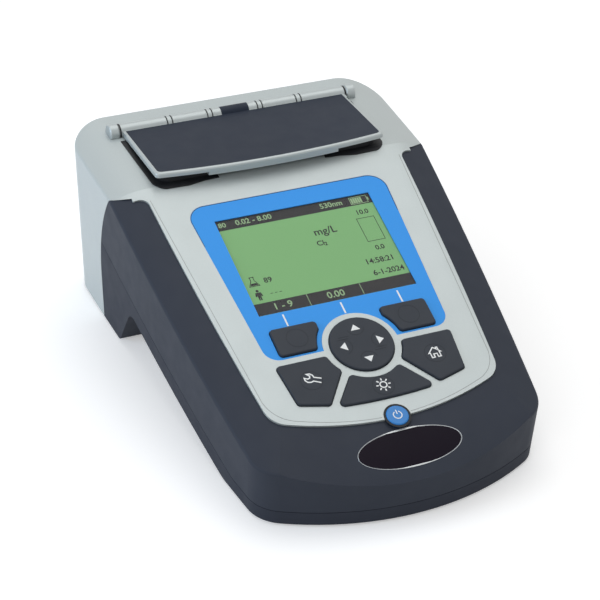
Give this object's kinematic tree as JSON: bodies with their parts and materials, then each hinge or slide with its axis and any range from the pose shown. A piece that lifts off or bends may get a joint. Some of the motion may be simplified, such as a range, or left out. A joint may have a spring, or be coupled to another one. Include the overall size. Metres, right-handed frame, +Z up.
{
  "type": "portable spectrophotometer",
  "caption": "Wedge-shaped portable spectrophotometer with a sloping display and keypad, a hinged cell lid, silver and charcoal housing and a battery bay.",
  "frame": {"origin": "middle of the footprint on the bench, z = 0 under the feet", "axes": "+X to the user's right, +Y to the rear, +Z up"},
  "size_m": [0.178, 0.2609, 0.098],
  "materials": {
    "silver_housing": "satin",
    "charcoal_housing": "matte",
    "lower_charcoal": "matte",
    "black_rubber": "matte",
    "blue_overlay": "satin",
    "clear_window": "gloss",
    "lcd": "satin",
    "white_plastic": "matte",
    "key_plastic": "matte",
    "power_blue": "satin",
    "board_green": "satin",
    "badge_black": "gloss",
    "lid_silver": "satin",
    "lid_dark": "satin",
    "black_plastic": "matte",
    "steel": "satin",
    "cap_silver": "satin",
    "black_aluminium": "matte",
    "clear_glass": "gloss",
    "grating_mirror": "gloss",
    "chip_black": "satin",
    "battery_jacket": "satin",
    "contact_metal": "gloss"
  },
  "bodies": {
    "housing": {"upper_housing": "silver_housing", "front_shell": "charcoal_housing", "lower_housing": "lower_charcoal", "housing_seal": "black_rubber", "display_overlay": "blue_overlay", "display_window": "clear_window", "lcd_panel": "lcd", "lcd_frame": "white_plastic", "key_mat": "black_rubber", "main_board": "board_green", "board_screws": "steel", "badge_inlay": "badge_black", "lid_seal": "black_rubber", "hinge_pin": "steel", "hinge_caps": "cap_silver", "cell_collar": "black_plastic", "cell_well": "black_plastic", "cell_spring": "steel", "optics_bench": "black_aluminium", "bench_screws": "steel", "lamp": "clear_glass", "lamp_holder": "white_plastic", "condenser_lens": "clear_glass", "exit_lens": "clear_glass", "entrance_slit": "black_aluminium", "grating": "grating_mirror", "grating_mount": "black_aluminium", "detector_array": "chip_black", "detector_board": "board_green", "battery_cells": "battery_jacket", "battery_contacts": "contact_metal", "battery_cover": "lower_charcoal", "cover_seal": "black_rubber", "cover_screws": "steel", "housing_screws": "steel", "feet": "black_rubber"},
    "lid": {"lid_frame": "lid_silver", "lid_inlay": "lid_dark", "lid_baffle": "black_plastic"},
    "soft_key_left_body": {"soft_key_left": "key_plastic"},
    "soft_key_right_body": {"soft_key_right": "key_plastic"},
    "nav_pad_body": {"nav_pad": "key_plastic"},
    "settings_key_body": {"settings_key": "key_plastic"},
    "backlight_key_body": {"backlight_key": "key_plastic"},
    "home_key_body": {"home_key": "key_plastic"},
    "power_key_body": {"power_key": "power_blue"}
  },
  "joints": [
    {"name": "lid_hinge", "type": "hinge", "parent": "housing", "child": "lid", "pos_m": [0, 0.111, 0.0934], "axis": [-1, 0, 0], "range_deg": [0, 105]},
    {"name": "soft_key_left_press", "type": "slide", "parent": "housing", "child": "soft_key_left_body", "axis": [0, 0.3112, -0.9504], "range_m": [0, 0.001], "stiffness_N_per_m": 800, "springref_m": -0.0005},
    {"name": "soft_key_right_press", "type": "slide", "parent": "housing", "child": "soft_key_right_body", "axis": [0, 0.3112, -0.9504], "range_m": [0, 0.001], "stiffness_N_per_m": 800, "springref_m": -0.0005},
    {"name": "nav_pad_press", "type": "slide", "parent": "housing", "child": "nav_pad_body", "axis": [0, 0.3112, -0.9504], "range_m": [0, 0.001], "stiffness_N_per_m": 800, "springref_m": -0.0005},
    {"name": "settings_key_press", "type": "slide", "parent": "housing", "child": "settings_key_body", "axis": [0, 0.3112, -0.9504], "range_m": [0, 0.001], "stiffness_N_per_m": 800, "springref_m": -0.0005},
    {"name": "backlight_key_press", "type": "slide", "parent": "housing", "child": "backlight_key_body", "axis": [0, 0.3112, -0.9504], "range_m": [0, 0.001], "stiffness_N_per_m": 800, "springref_m": -0.0005},
    {"name": "home_key_press", "type": "slide", "parent": "housing", "child": "home_key_body", "axis": [0, 0.3112, -0.9504], "range_m": [0, 0.001], "stiffness_N_per_m": 800, "springref_m": -0.0005},
    {"name": "power_key_press", "type": "slide", "parent": "housing", "child": "power_key_body", "axis": [0, 0.3112, -0.9504], "range_m": [0, 0.001], "stiffness_N_per_m": 800, "springref_m": -0.0005}
  ]
}
